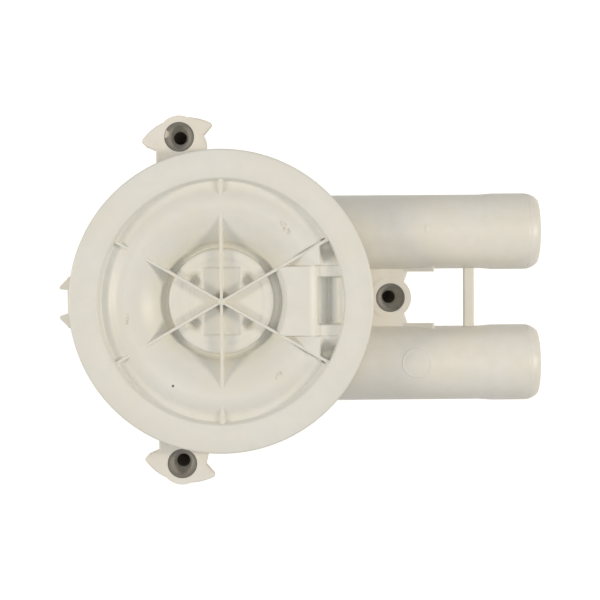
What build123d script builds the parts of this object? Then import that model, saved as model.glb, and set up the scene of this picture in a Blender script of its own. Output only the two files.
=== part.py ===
from build123d import *
import os

# Washing machine drain pump, driven straight from the end of a motor shaft.
# The origin is on the shaft axis, at the mouth of the drive socket.
# +Z runs along the shaft to the front cover, and +X to the two hose nipples.
# Lengths are in millimetres.

# Overall sizes
chamber_radius = 53.2
chamber_depth = 47.0  # cover's ring face down to the chamber floor
weld_land = 9.9  # welded ring, past the chamber
nipple_reach = 72.5  # cover's rim to the hose end
nipple_offset = 28.4  # shaft axis to each nipple's axis
tip_drop = 2.0  # isolator tips below the drive socket's mouth

# Isolators: angle round the shaft from +X, and how far past the cover's rim the axis lies
isolator_places = {
    "isolator_port_side": (0, 9.2),
    "isolator_top": (104.2, 7.9),
    "isolator_bottom": (-104.2, 7.9),
}

# Clearances
press_clearance = 0.02
running_clearance = 0.03
seat_clearance = 0.05
cavity_clearance = 0.4
pilot_clearance = 0.2
overrun = 1.0  # of every cut, past the face it opens

# Drive hub and its steel insert, from the socket's mouth upwards
hub_length = 17.0
hub_radius = 11.0
hub_flute_radius = 1.2
hub_flute_count = 8
pilot_radius = 6.8
pilot_length = 3.0
insert_length = 7.0
insert_across_flats = 15.0
socket_radius = 6.45
socket_across_flats = 9.7

# Shaft and what keeps it in place
shaft_radius = 4.0
shaft_chamfer = 0.5
slinger_gap = 0.8
slinger_radius = 10.5
slinger_thickness = 1.4
slinger_lip = 0.9
retaining_ring_thickness = 0.8
retaining_ring_radius = 6.2
retaining_ring_mouth = 3.4
retaining_groove = 0.7
thrust_washer_thickness = 0.9
thrust_washer_radius = 7.0
bearing_retainer_thickness = 0.8
bearing_retainer_bore = 5.4
bearing_retainer_recess = 0.5
bush_radius = 8.0
bush_length = 4.0
bush_chamfer = 0.5
felt_length = 3.0

# Shaft seal
seal_well_radius = 14.3
seal_well_depth = 8.2
seal_cup_wall = 2.5
seal_cup_floor = 2.0
seal_cup_lip = 0.8  # rim of the cup below the chamber floor
seal_seat_bore = 5.4
seal_seat_length = 6.4
seal_seat_chamfer = 0.5
carbon_radius = 9.6
carbon_bore = 5.2
carbon_nose_radius = 8.6
carbon_nose_length = 1.5
carbon_length = 4.5
bellows_length = 10.0
bellows_radius = 6.6
bellows_neck_radius = 5.3
bellows_flange = 1.4
spring_wire_radius = 0.6
spring_turns = 3.5
drive_cup_wall = 0.6
drive_cup_skirt = 12.0

# Impeller
impeller_radius = 41.0
impeller_floor_gap = 2.4
impeller_cover_gap = 4.6
impeller_skirt_wall = 3.0
impeller_disc_radius = 36.0
impeller_disc_thickness = 2.5
impeller_boss_radius = 10.0
impeller_cap = 2.5
vane_thickness = 2.6
vane_count = 6
vane_chamfer = 3.0

# Housing
edge_round = 0.7  # outer edges of the flange, ears, web, pad and bridge rib
horn_round = 0.5
wing_tip_round = 1.1
body_wall = 2.8
floor_wall = 3.0
flange_thickness = 4.0
flange_setback = 1.1  # weld flange inside the cover's rim
back_skirt = 4.0
back_rib_thickness = 2.2
back_rib_angles = (35, 70, 140, 180, -140, -70, -35)  # between the arms to the posts
bearing_boss_wall = 3.6
seal_well_wall = 2.7
shaft_passage = 5.6
divider_clearance = 2.0  # impeller's tips to the divider
divider_width = 28.0
divider_drop = 8.0  # chamber's mouth down to the divider

# Nipples
nipple_bore = 13.5
nipple_wall = 2.45
nipple_sill = 1.5  # chamber floor up to the bore
hose_land = 14.0
hose_land_rise = 0.45  # above the barrel
hose_land_setback = 5.6
hose_flare_length = 5.0
nipple_nose_drop = 2.3  # hose land down to the edge of the end face
nipple_nose_share = (0.54, 0.26)  # of the setback and the drop, to the middle of the nose's arc
bridge_width = 4.6
bridge_thickness = 3.0
bridge_setback = 29.2  # hose end to the middle of the bridge rib

# Isolator posts, ears and the web between the nipples
ear_setback = 13.3  # cover's ring face down to the front of the ears
ear_thickness = 5.0
ear_reach = 16.0  # isolator's axis to the long wing's tip
post_radius = 9.0
post_bore = 6.25
arm_thickness = 3.2
arm_drop = 22.0  # chamber's back down to the arm, at the post
arm_rise = 1.6  # bearing boss's end up to the arm
web_wall = 2.6
web_bite = 0.4  # into each nipple
web_reach = 8.1  # isolator's axis to the web's outer corners
web_notch = 2.2
web_post_rise = 0.3  # post's mouth above the web
web_gusset_length = 10.6
web_gusset_rise = 4.4  # above the web, at the gusset's outer end
web_gusset_wall = 2.2
web_gusset_bite = 1.0  # into each nipple

# Clip pad opposite the nipples
clip_pad_width = 21.4
clip_pad_reach = 0.8  # past the cover's rim
clip_pad_height = 18.0
clip_notch_width = 10.4
clip_horn_reach = 3.3
clip_horn_tip = 1.4

# Isolators
isolator_nose_radius = 6.0
isolator_nose_length = 8.0
isolator_nose_chamfer = 0.8
isolator_collar = 2.0
isolator_lip = 0.6
isolator_recess = 0.3
isolator_funnel_depth = 17.0
isolator_core_radius = 2.9
isolator_core_depth = 44.0

# Front cover
ring_thickness = 5.0
ring_overlap = 1.4  # of the ring over the chamber
rim_round = 0.9
lip_round = 0.7
cover_wall = 2.4
pilot_depth = 4.0
pilot_wall = 2.1
dish_depth = 13.0
cover_hub_radius = 22.0
cover_hub_drop = 5.0
cover_hub_draft = 0.5
cover_groove_width = 4.0
cover_groove_flat = 0.8
recess_width = 28.4
recess_left = 7.8
recess_right = 8.0
recess_depth = 1.2
pit_radius = 2.4
pit_depth = 3.0
pit_offset_x = 11.2
pit_offset_y = 9.6
cover_floor = 2.4
cover_rib_thickness = 1.2
cover_rib_drop = 1.5
cover_rib_count = 6
cover_rib_angle = 30  # of the first rib, from +X
gate_radius = 1.1
sump_width = 29.2
sump_length = 12.0  # cover's ring inwards to the trough's inner wall
sump_trough_width = 19.6
sump_trough_depth = 9.5
sump_block_drop = 4.0
sump_crown_drop = 0.9
sump_crown_round = 2.6
sump_plate_drop = 2.4  # flat plates between the crown and the ribs beside it
sump_plate_length = 10.4  # cover's ring inwards to the plates' edge
sump_pit_depth = 10.0
sump_floor_wall = 2.4
rib_gap_width = 0.9  # slots beside the two ribs nearest the nipples
rib_gap_shares = ((0.33, 0.36), (0.92, 0.46))  # ends: of the crown's span, of the dish's depth

# Middle of a quarter round, in from the corner it rounds: share of its radius
round_share = 0.29

# Section of the cover's crown, from the hub's groove to the ring: shares of that span and of
# the dish's depth. The last point is where the flat of the outer groove starts.
crown_shares = (
    (0.0, 0.6),
    (0.093, 0.44),
    (0.178, 0.325),
    (0.271, 0.22),
    (0.407, 0.12),
    (0.562, 0.077),
    (0.678, 0.092),
    (0.783, 0.162),
    (0.876, 0.24),
)
groove_flat_share = 0.94

# Outline of the top ear from its isolator's axis, in shares of the long wing's reach
long_wing_share = (-1.0, -0.12)
crest_share = (0.06, 0.51)
short_wing_share = (0.9, 0.33)
short_notch_share = (0.64, 0.03)
short_root_share = (0.71, -0.3)
long_root_share = (-0.61, -0.37)
long_step_share = (-0.86, -0.26)
ear_root_share = 0.75  # of the chamber's radius

# Heights on the shaft line, stacked up from the socket's mouth
slinger_low = hub_length + slinger_gap
retaining_ring_low = slinger_low + slinger_thickness + slinger_gap
thrust_washer_low = retaining_ring_low + retaining_ring_thickness + seat_clearance
bearing_retainer_low = thrust_washer_low + thrust_washer_thickness + seat_clearance
boss_bottom = bearing_retainer_low - bearing_retainer_recess
motor_bush_low = bearing_retainer_low + bearing_retainer_thickness + seat_clearance
felt_low = motor_bush_low + bush_length + seat_clearance
seal_bush_low = felt_low + felt_length + seat_clearance
bush_shoulder = seal_bush_low + bush_length + seat_clearance
well_floor = bush_shoulder + floor_wall
floor_height = well_floor + seal_well_depth
face_height = floor_height + chamber_depth
mouth_height = face_height - ring_thickness
back_height = floor_height - floor_wall
nipple_height = floor_height + nipple_sill + nipple_bore
ear_front = face_height - ear_setback
web_front = nipple_height + web_wall / 2
isolator_mouths = {
    "isolator_port_side": web_front + web_post_rise,
    "isolator_top": ear_front,
    "isolator_bottom": ear_front,
}

# Circles that several pieces share
rim_radius = chamber_radius + weld_land
outer_radius = chamber_radius + body_wall
ring_inner = chamber_radius - ring_overlap
groove_outer = cover_hub_radius + cover_groove_width
nipple_radius = nipple_bore + nipple_wall
nipple_end = rim_radius + nipple_reach
seal_cup_radius = seal_well_radius - seat_clearance
seal_seat_radius = seal_cup_radius - seal_cup_wall - seat_clearance
drive_cup_inner = carbon_radius + seat_clearance
drive_cup_radius = drive_cup_inner + drive_cup_wall
impeller_cavity = drive_cup_radius + cavity_clearance

# Heights in the seal and the impeller
seal_cup_low = well_floor + seat_clearance
seal_seat_low = seal_cup_low + seal_cup_floor + seat_clearance
carbon_low = seal_seat_low + seal_seat_length + seat_clearance
bellows_low = carbon_low + carbon_length + seat_clearance
drive_cup_top = bellows_low + bellows_length + seat_clearance + drive_cup_wall
impeller_low = floor_height + impeller_floor_gap
impeller_top = face_height - dish_depth - cover_wall - impeller_cover_gap
shaft_top = impeller_top - impeller_cap


def disc(radius, low, high):
    """A cylinder on the shaft axis, from one height to another."""
    return Pos(0, 0, low) * Cylinder(radius, high - low, align=(Align.CENTER, Align.CENTER, Align.MIN))


def ring(outer, inner, low, high):
    """A ring on the shaft axis."""
    return disc(outer, low, high) - disc(inner, low - overrun, high + overrun)


def block(x, y, z):
    """A box from its low and high values along each axis."""
    corner = Pos(x[0], y[0], z[0])
    return corner * Box(x[1] - x[0], y[1] - y[0], z[1] - z[0], align=(Align.MIN, Align.MIN, Align.MIN))


def turned(*points):
    """A solid of revolution about the shaft axis, from (radius, height) corners of its half section."""
    return revolve(make_face(Plane.XZ * Polyline(*points, close=True)), Axis.Z)


def around(shape, count):
    """Copies of a shape, evenly spaced round the shaft axis."""
    return [Rot(0, 0, 360 / count * step) * shape for step in range(count)]


def crown_point(share, lift):
    """A point of the cover's crown, moved straight up by a lift, or down by a negative one."""
    radius = groove_outer + share[0] * (ring_inner - groove_outer)
    return (radius, face_height - dish_depth * share[1] + lift)


def drive_hub():
    hub = disc(hub_radius, 0, hub_length)
    flute = Pos(hub_radius, 0, pilot_length) * Cylinder(
        hub_flute_radius, hub_length, align=(Align.CENTER, Align.CENTER, Align.MIN)
    )
    hub -= around(flute, hub_flute_count)
    hub -= disc(pilot_radius, -overrun, pilot_length)
    insert_top = pilot_length + insert_length + 2 * seat_clearance
    pocket_across = insert_across_flats + 2 * seat_clearance
    pocket = extrude(RegularPolygon(pocket_across / 2, 6, major_radius=False), insert_top - pilot_length)
    hub -= Pos(0, 0, pilot_length) * pocket
    return hub - disc(shaft_radius + press_clearance, insert_top - overrun, hub_length + overrun)


def drive_insert():
    low = pilot_length + seat_clearance
    body = Pos(0, 0, low) * extrude(
        RegularPolygon(insert_across_flats / 2, 6, major_radius=False), insert_length
    )
    flats = (-socket_across_flats / 2, socket_across_flats / 2)
    span = (-insert_across_flats, insert_across_flats)
    socket = disc(socket_radius, low - overrun, low + insert_length + overrun)
    return body - (socket & block(span, flats, (0, hub_length)))


def drive_shaft():
    low = pilot_length + insert_length + 3 * seat_clearance
    shaft = disc(shaft_radius, low, shaft_top - seat_clearance)
    shaft = chamfer(shaft.edges().filter_by(GeomType.CIRCLE), shaft_chamfer)
    groove_top = retaining_ring_low + retaining_ring_thickness + seat_clearance
    groove = ring(
        shaft_radius + overrun,
        shaft_radius - retaining_groove,
        retaining_ring_low - seat_clearance,
        groove_top,
    )
    return shaft - groove


def retaining_ring():
    inner = shaft_radius - retaining_groove + seat_clearance
    top = retaining_ring_low + retaining_ring_thickness
    body = ring(retaining_ring_radius, inner, retaining_ring_low, top)
    half_mouth = (-retaining_ring_mouth / 2, retaining_ring_mouth / 2)
    mouth = block((0, retaining_ring_radius + overrun), half_mouth, (retaining_ring_low, top))
    return body - mouth


def thrust_washer():
    top = thrust_washer_low + thrust_washer_thickness
    return ring(thrust_washer_radius, shaft_radius + seat_clearance, thrust_washer_low, top)


def water_slinger():
    bore = shaft_radius + press_clearance
    top = slinger_low + slinger_thickness
    root = bore + 2 * slinger_thickness
    return turned(
        (bore, slinger_low),
        (slinger_radius, slinger_low),
        (slinger_radius, slinger_low + slinger_lip),
        (root, slinger_low + slinger_lip),
        (root, top),
        (bore, top),
    )


def bearing_bush(low):
    bush = ring(bush_radius, shaft_radius + running_clearance, low, low + bush_length)
    rims = bush.edges().filter_by(GeomType.CIRCLE).group_by(SortBy.RADIUS)[-1]
    return chamfer(rims, bush_chamfer)


def oil_felt():
    return ring(bush_radius, shaft_radius + running_clearance, felt_low, felt_low + felt_length)


def bearing_retainer():
    top = bearing_retainer_low + bearing_retainer_thickness
    return ring(bush_radius, bearing_retainer_bore, bearing_retainer_low, top)


def seal_seat_cup():
    top = floor_height - seal_cup_lip
    floor_top = seal_cup_low + seal_cup_floor
    cup = ring(seal_cup_radius, seal_cup_radius - seal_cup_wall, seal_cup_low, top)
    return cup + ring(seal_cup_radius - seal_cup_wall + overrun, shaft_passage, seal_cup_low, floor_top)


def seal_seat():
    seat = ring(seal_seat_radius, seal_seat_bore, seal_seat_low, seal_seat_low + seal_seat_length)
    rims = seat.edges().filter_by(GeomType.CIRCLE).group_by(SortBy.RADIUS)[-1]
    return chamfer(rims, seal_seat_chamfer)


def seal_carbon_ring():
    nose_top = carbon_low + carbon_nose_length
    top = carbon_low + carbon_length
    return turned(
        (carbon_bore, carbon_low),
        (carbon_nose_radius, carbon_low),
        (carbon_nose_radius, nose_top),
        (carbon_radius, nose_top),
        (carbon_radius, top),
        (carbon_bore, top),
    )


def seal_bellows():
    """Rubber bellows: a flange behind the carbon, one fold, and a flange under the drive cup."""
    bore = shaft_radius + press_clearance
    low = bellows_low
    top = bellows_low + bellows_length
    fold_low = low + bellows_length / 3
    fold_high = top - bellows_length / 3
    return turned(
        (bore, low),
        (carbon_radius, low),
        (carbon_radius, low + bellows_flange),
        (bellows_neck_radius, low + bellows_flange),
        (bellows_radius, fold_low),
        (bellows_radius, fold_high),
        (bellows_neck_radius, top - bellows_flange),
        (carbon_radius, top - bellows_flange),
        (carbon_radius, top),
        (bore, top),
    )


def seal_spring():
    margin = bellows_flange + spring_wire_radius + seat_clearance
    height = bellows_length - 2 * margin
    radius = (bellows_radius + drive_cup_inner) / 2
    path = Helix(height / spring_turns, height, radius)
    wire = Plane(path @ 0, z_dir=path % 0) * Circle(spring_wire_radius)
    return Pos(0, 0, bellows_low + margin) * sweep(wire, path=path, is_frenet=True)


def seal_drive_cup():
    skirt = ring(drive_cup_radius, drive_cup_inner, drive_cup_top - drive_cup_skirt, drive_cup_top)
    lid_bore = shaft_radius + cavity_clearance
    return skirt + ring(drive_cup_radius, lid_bore, drive_cup_top - drive_cup_wall, drive_cup_top)


def impeller():
    """Straight radial vanes on a disc, round a bell that covers the turning half of the seal."""
    bell_radius = impeller_cavity + impeller_skirt_wall
    bell_top = drive_cup_top + impeller_skirt_wall
    body = disc(bell_radius, impeller_low, bell_top)
    body += disc(impeller_boss_radius, bell_top - overrun, impeller_top)
    body += disc(impeller_disc_radius, impeller_low, impeller_low + impeller_disc_thickness)
    vane = block(
        (impeller_boss_radius / 2, impeller_radius),
        (-vane_thickness / 2, vane_thickness / 2),
        (impeller_low, impeller_top),
    )
    corner = vane.edges().filter_by(Axis.Y).group_by(Axis.X)[-1]
    body += around(chamfer(corner, vane_chamfer), vane_count)
    body -= disc(impeller_cavity, impeller_low - overrun, drive_cup_top + seat_clearance)
    return body - disc(shaft_radius + press_clearance, impeller_low, shaft_top)


def nipple(side):
    """One hose nipple: a barrel from inside the chamber, a raised hose land and a rounded end."""
    land_radius = nipple_radius + hose_land_rise
    land_end = nipple_end - hose_land_setback
    land_start = land_end - hose_land
    end_radius = land_radius - nipple_nose_drop
    outline = Polyline(
        (chamber_radius / 2, 0),
        (chamber_radius / 2, nipple_radius),
        (land_start - hose_flare_length, nipple_radius),
        (land_start, land_radius),
        (land_end, land_radius),
    )
    nose = ThreePointArc(
        (land_end, land_radius),
        (
            land_end + hose_land_setback * nipple_nose_share[0],
            land_radius - nipple_nose_drop * nipple_nose_share[1],
        ),
        (nipple_end, end_radius),
    )
    end_face = Line((nipple_end, end_radius), (nipple_end, 0))
    base = Line((nipple_end, 0), (chamber_radius / 2, 0))
    barrel = revolve(make_face(outline + nose + end_face + base), Axis.X)
    return Pos(0, side * nipple_offset, nipple_height) * barrel


def nipple_hole(side):
    length = nipple_end + overrun - chamber_radius / 2
    hole = Rot(0, 90, 0) * Cylinder(nipple_bore, length, align=(Align.CENTER, Align.CENTER, Align.MIN))
    return Pos(chamber_radius / 2, side * nipple_offset, nipple_height) * hole


def isolator_axis(name):
    """Where an isolator's axis crosses the plane of the drive socket's mouth."""
    angle, reach = isolator_places[name]
    return Rot(0, 0, angle) * Pos(rim_radius + reach, 0, 0)


def post(name):
    """Sleeve for one isolator, on an arm from the bearing boss under the chamber's back."""
    angle, reach = isolator_places[name]
    axis = rim_radius + reach
    mouth = isolator_mouths[name]
    bottom = -tip_drop + isolator_nose_length + isolator_collar
    sleeve = Pos(axis, 0, 0) * disc(post_radius, bottom, mouth)
    sleeve = fillet(sleeve.edges().group_by(Axis.Z)[0], edge_round)
    wall = chamber_radius + body_wall / 2
    boss = bush_radius + bearing_boss_wall / 2
    arm_face = Plane.XZ * Polyline(
        (boss, back_height + floor_wall / 2),
        (boss, boss_bottom + arm_rise),
        (axis, back_height - arm_drop),
        (axis, mouth - ear_thickness),
        (wall, mouth - ear_thickness),
        (wall, back_height + floor_wall / 2),
        close=True,
    )
    arm = extrude(make_face(arm_face), arm_thickness / 2, both=True)
    return Rot(0, 0, angle) * (sleeve + arm)


def post_hole(name):
    return isolator_axis(name) * disc(post_bore, -tip_drop, isolator_mouths[name] + overrun)


def clip_ear(name):
    """Fish-shaped plate round the top isolator, whose two wing tips hold a spring clip."""
    centre = isolator_axis(name)
    x = centre.position.X
    y = centre.position.Y

    def at(share):
        return (x + share[0] * ear_reach, y + share[1] * ear_reach)

    root = chamber_radius * ear_root_share
    short_root = at(short_root_share)
    long_root = at(long_root_share)
    crest = ThreePointArc(at(long_wing_share), at(crest_share), at(short_wing_share))
    rest = Polyline(
        at(short_wing_share),
        at(short_notch_share),
        short_root,
        (short_root[0], root),
        (long_root[0], root),
        long_root,
        at(long_step_share),
        at(long_wing_share),
    )
    ear = Pos(0, 0, ear_front - ear_thickness) * extrude(make_face(crest + rest), ear_thickness)
    corners = ear.edges().filter_by(Axis.Z).sort_by(Axis.X)
    ear = fillet([corners[0], corners[-1]], wing_tip_round)
    rims = ear.edges().group_by(Axis.Z)
    return fillet(rims[0] + rims[-1], edge_round)


def port_web():
    """Flat web between the nipples at their middle, which carries the third isolator's post."""
    half = nipple_offset - nipple_radius + web_bite
    start = chamber_radius + body_wall / 2
    end = isolator_axis("isolator_port_side").position.X + web_reach
    plate_face = Polyline(
        (start, -half),
        (end, -half),
        (end - web_notch, -post_radius + web_wall),
        (end - web_notch, post_radius - web_wall),
        (end, half),
        (start, half),
        close=True,
    )
    web = Pos(0, 0, web_front - web_wall) * extrude(make_face(plate_face), web_wall)
    web = fillet(web.edges().group_by(Axis.Z)[-1], edge_round)
    gusset_low = web_front - web_wall
    gusset_face = Plane.XZ * Polyline(
        (end - web_wall, gusset_low),
        (end + web_gusset_length, gusset_low),
        (end + web_gusset_length, web_front + web_gusset_rise),
        (end - web_wall, web_front),
        close=True,
    )
    gusset = extrude(make_face(gusset_face), web_gusset_wall / 2, both=True)
    gusset = fillet(gusset.edges().filter_by(Axis.Y).group_by(Axis.Z)[-1], edge_round)
    gusset_middle = nipple_offset - nipple_radius + web_gusset_bite - web_gusset_wall / 2
    for side in (-1, 1):
        web += Pos(0, side * gusset_middle, 0) * gusset
    return web


def clip_pad():
    """Pad opposite the nipples, with two horns that keep a spring clip from sliding."""
    high = face_height - ring_thickness
    low = high - clip_pad_height
    edge = -rim_radius - clip_pad_reach
    root = -chamber_radius - body_wall / 2
    half_pad = clip_pad_width / 2
    half_notch = clip_notch_width / 2
    pad = block((edge, root), (-half_pad, half_pad), (low, high))
    pad = fillet(pad.edges().group_by(Axis.X)[0], edge_round)
    for side in (-1, 1):
        horn_face = Polyline(
            (edge, side * half_notch),
            (edge - clip_horn_reach, side * (half_notch + clip_horn_tip / 4)),
            (edge - clip_horn_reach, side * (half_notch + clip_horn_tip)),
            (edge + clip_pad_reach, side * half_pad),
            (edge + clip_pad_reach, side * half_notch),
            close=True,
        )
        horn = Pos(0, 0, low) * extrude(make_face(horn_face), clip_pad_height)
        pad += fillet(horn.edges().group_by(Axis.X)[0], horn_round)
    return pad


def divider():
    """Wall between the two ports, close to the impeller's tips."""
    low = floor_height - floor_wall / 2
    high = mouth_height - divider_drop
    arc = ring(chamber_radius + body_wall / 2, impeller_radius + divider_clearance, low, high)
    return arc & block((0, rim_radius), (-divider_width / 2, divider_width / 2), (low, high))


def volute_housing():
    body = disc(outer_radius, back_height, mouth_height)
    body += ring(outer_radius, chamber_radius, back_height - back_skirt, back_height + overrun)
    flange_radius = rim_radius - flange_setback
    flange = disc(flange_radius, mouth_height - flange_thickness, mouth_height)
    body += fillet(flange.edges().group_by(Axis.Z)[0], edge_round)
    body += disc(seal_well_radius + seal_well_wall, bush_shoulder, back_height + overrun)
    body += disc(bush_radius + bearing_boss_wall, boss_bottom, back_height)
    boss = bush_radius + bearing_boss_wall / 2
    wall = chamber_radius + body_wall / 2
    back_rib_face = Plane.XZ * Polyline(
        (boss, back_height + floor_wall / 2),
        (boss, felt_low),
        (seal_well_radius + seal_well_wall, bush_shoulder),
        (wall, back_height - back_skirt),
        (wall, back_height + floor_wall / 2),
        close=True,
    )
    back_rib = extrude(make_face(back_rib_face), back_rib_thickness / 2, both=True)
    body += [Rot(0, 0, angle) * back_rib for angle in back_rib_angles]
    body += [post(name) for name in isolator_places]
    top_ear = clip_ear("isolator_top")
    body += [top_ear, mirror(top_ear, about=Plane.XZ), port_web(), clip_pad()]
    body += [nipple(1), nipple(-1)]
    bridge_half = nipple_offset - nipple_bore - nipple_wall / 2
    bridge_middle = nipple_end - bridge_setback
    bridge = block(
        (bridge_middle - bridge_width / 2, bridge_middle + bridge_width / 2),
        (-bridge_half, bridge_half),
        (nipple_height - bridge_thickness / 2, nipple_height + bridge_thickness / 2),
    )
    body += fillet(bridge.edges().filter_by(Axis.Y), edge_round)
    body -= disc(chamber_radius, floor_height, mouth_height + overrun)
    body -= [nipple_hole(1), nipple_hole(-1)]
    body -= [post_hole(name) for name in isolator_places]
    body -= disc(seal_well_radius, well_floor, floor_height + overrun)
    body -= disc(shaft_passage, bush_shoulder - overrun, well_floor + overrun)
    body -= disc(bush_radius + press_clearance, boss_bottom - overrun, bush_shoulder)
    return body + divider()


def isolator(name):
    """Rubber plug in its post: a funnel and a blind core from the front, a collar and a nose behind."""
    outer = post_bore - seat_clearance
    top = isolator_mouths[name] - isolator_recess
    nose_top = -tip_drop + isolator_nose_length
    collar_top = nose_top + isolator_collar - seat_clearance
    funnel_bottom = top - isolator_funnel_depth
    body = turned(
        (0, -tip_drop),
        (isolator_nose_radius - isolator_nose_chamfer, -tip_drop),
        (isolator_nose_radius, -tip_drop + isolator_nose_chamfer),
        (isolator_nose_radius, nose_top),
        (post_radius, nose_top),
        (post_radius, collar_top),
        (outer, collar_top),
        (outer, top),
        (outer - isolator_lip, top),
        (isolator_core_radius, funnel_bottom),
        (isolator_core_radius, top - isolator_core_depth),
        (0, top - isolator_core_depth),
    )
    return isolator_axis(name) * body


def cover_shell():
    """The cover without its ribs: ring, dish, crown and hub in one section."""
    groove_top = face_height - dish_depth
    under_groove = groove_top - cover_wall
    hub_top = face_height - cover_hub_drop
    under_hub = hub_top - recess_depth - pit_depth - cover_floor
    pilot_radius_outer = chamber_radius - pilot_clearance
    pilot_inner = pilot_radius_outer - pilot_wall
    crown = [crown_point(share, 0) for share in crown_shares]
    under = [crown_point(share, -cover_wall) for share in crown_shares[1:]]
    flat_end = crown_point((groove_flat_share, crown_shares[-1][1]), 0)
    lip_low = (ring_inner - lip_round, face_height - lip_round)
    lip_high = (ring_inner, face_height)
    lip_middle = (ring_inner - lip_round * (1 - round_share), face_height - lip_round * round_share)
    rim_low = (rim_radius, face_height - rim_round)
    rim_middle = (rim_radius - rim_round * round_share, face_height - rim_round * round_share)
    hub_side = cover_hub_radius + cover_hub_draft
    outline = [
        Polyline(
            (0, under_hub),
            (0, hub_top),
            (cover_hub_radius - lip_round, hub_top),
            (cover_hub_radius, hub_top - lip_round),
            (hub_side, groove_top),
            (hub_side + cover_groove_flat, groove_top),
            crown[0],
        ),
        Spline(*crown),
        Polyline(crown[-1], flat_end, lip_low),
        ThreePointArc(lip_low, lip_middle, lip_high),
        Line(lip_high, (rim_radius - rim_round, face_height)),
        ThreePointArc((rim_radius - rim_round, face_height), rim_middle, rim_low),
        Polyline(
            rim_low,
            (rim_radius, mouth_height),
            (pilot_radius_outer, mouth_height),
            (pilot_radius_outer, mouth_height - pilot_depth),
            (pilot_inner, mouth_height - pilot_depth),
            (pilot_inner, under[-1][1]),
            under[-1],
        ),
        Spline(*under),
        Polyline(
            under[0],
            (under[0][0], under_groove),
            (hub_side - cover_wall, under_groove),
            (hub_side - cover_wall, under_hub),
            (0, under_hub),
        ),
    ]
    return revolve(make_face(Plane.XZ * Curve(outline)), Axis.Z)


def cover_ribs():
    """Six ribs across the dish, from the middle of the wall up to one level."""
    top = face_height - cover_rib_drop
    hub_low = face_height - cover_hub_drop - recess_depth - pit_depth - cover_floor / 2
    groove_low = face_height - dish_depth - cover_wall / 2
    crown = [crown_point(share, -cover_wall / 2) for share in crown_shares[1:]]
    room = turned(
        (0, top),
        (0, hub_low),
        (cover_hub_radius - cover_wall / 2, hub_low),
        (cover_hub_radius, groove_low),
        (crown[0][0], groove_low),
        *crown,
        (ring_inner + lip_round, crown[-1][1]),
        (ring_inner + lip_round, top),
    )
    span = (-rim_radius, rim_radius)
    rib = block(span, (-cover_rib_thickness / 2, cover_rib_thickness / 2), (groove_low, top))
    half_count = cover_rib_count // 2
    ribs = [Rot(0, 0, cover_rib_angle + 180 / half_count * step) * rib & room for step in range(half_count)]
    return ribs + [disc(gate_radius, hub_low, top)]


def port_sector(shift, end, low, high):
    """Wedge between the two ribs nearest the nipples, its sides moved out by a shift."""
    span = (-rim_radius, rim_radius)
    wedge = block((0, end), span, (low, high))
    for side, reach in ((1, (-rim_radius, shift)), (-1, (-shift, rim_radius))):
        wedge &= Rot(0, 0, side * cover_rib_angle) * block(span, reach, (low, high))
    return wedge


def rib_gap():
    """Cutter for the slot beside the rib above the sump."""
    corners = [crown_point(share, 0) for share in rib_gap_shares]
    face = Plane.XZ * Polyline(
        (corners[0][0], face_height),
        (corners[0][0], corners[0][1]),
        (corners[1][0], corners[1][1]),
        (corners[1][0], face_height),
        close=True,
    )
    slot = extrude(make_face(face), rib_gap_width / 2, both=True)
    middle = (cover_rib_thickness + rib_gap_width) / 2
    return Rot(0, 0, cover_rib_angle) * Pos(0, middle, 0) * slot


def with_port_sump(cover):
    """The cover with its sump at the nipples: crown block, plates, side blocks, trough and pits."""
    half_sump = sump_width / 2
    half_trough = sump_trough_width / 2
    sump_start = ring_inner - sump_length
    sump_end = ring_inner - lip_round - cover_wall / 2
    plate_end = ring_inner - sump_plate_length
    trough_floor = face_height - sump_trough_depth
    pit_floor = face_height - sump_pit_depth
    low = pit_floor - sump_floor_wall
    crown_top = face_height - sump_crown_drop
    plate_top = face_height - sump_plate_drop
    block_top = face_height - sump_block_drop
    rib_side = cover_rib_thickness / 2

    inside = ring(ring_inner - lip_round, groove_outer, low, crown_top)
    buried = [crown_point(share, -cover_wall / 2) for share in crown_shares]
    under_crown = turned(
        (groove_outer - cover_hub_draft, low),
        (groove_outer - cover_hub_draft, buried[0][1]),
        *buried,
        (ring_inner, buried[-1][1]),
        (ring_inner, low),
    )
    backing = port_sector(rib_side + rib_gap_width + sump_floor_wall, rim_radius, low, crown_top)
    cover += backing & under_crown
    cover -= port_sector(0, rim_radius, pit_floor, face_height) & inside
    sump = port_sector(0, plate_end, low, plate_top)
    raised = block((0, sump_start), (-half_sump, half_sump), (low, crown_top))
    outer_edge = raised.edges().filter_by(Axis.Y).group_by(Axis.Z)[-1].sort_by(Axis.X)[-1]
    sump += fillet(outer_edge, sump_crown_round)
    sump += block((sump_start - sump_crown_round, rim_radius), (-half_sump, half_sump), (low, block_top))
    cover += sump & inside & port_sector(0, rim_radius, low, crown_top)
    cover -= block((sump_start, sump_end), (-half_trough, half_trough), (trough_floor, face_height))
    upper_gap = rib_gap()
    return cover - [upper_gap, mirror(upper_gap, about=Plane.XZ)]


def front_cover():
    cover = cover_shell()
    hub_top = face_height - cover_hub_drop
    recess_floor = hub_top - recess_depth
    half_recess = recess_width / 2
    cover -= block((-recess_left, recess_right), (-half_recess, half_recess), (recess_floor, face_height))
    for x in (-pit_offset_x, pit_offset_x):
        for y in (-pit_offset_y, pit_offset_y):
            cover -= Pos(x, y, 0) * disc(pit_radius, recess_floor - pit_depth, face_height)

    cover = with_port_sump(cover)
    for rib in cover_ribs():
        cover += rib
    return cover


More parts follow.
